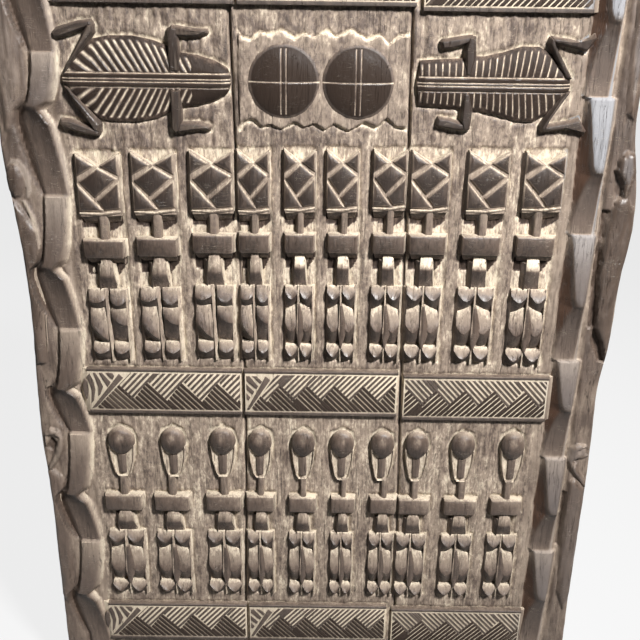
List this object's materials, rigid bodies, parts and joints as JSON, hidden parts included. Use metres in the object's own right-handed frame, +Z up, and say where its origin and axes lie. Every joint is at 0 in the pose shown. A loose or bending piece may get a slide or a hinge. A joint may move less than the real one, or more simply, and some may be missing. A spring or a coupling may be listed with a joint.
{
  "type": "carved granary door",
  "caption": "Carved wooden granary door leaf of upright planks held by back battens, with ancestor figures and animals in relief and round pivots carved on one side.",
  "frame": {"origin": "on the axis of the pivots, where the bottom pivot leaves the foot of the left plank, in the middle of the boards' thickness", "axes": "+Z up along the planks and the pivot axis, +X to the right as one faces the carving, the carving faces -Y"},
  "size_m": [0.8702, 0.0845, 1.3],
  "materials": {
    "carved_wood": "old hardwood, worn and dusty in the hollows, dark and satin on the raised carving",
    "batten_wood": "rough adzed hardwood, dry and grey brown",
    "forged_iron": "hand forged iron, dark brown with old rust"
  },
  "bodies": {
    "root": {"plank_left": "carved_wood", "plank_centre": "carved_wood", "plank_right": "carved_wood", "batten_bottom": "batten_wood", "batten_middle": "batten_wood", "batten_top": "batten_wood", "nails_bottom": "forged_iron", "nails_middle": "forged_iron", "nails_top": "forged_iron", "staples_left": "forged_iron", "staples_right": "forged_iron"}
  },
  "joints": []
}
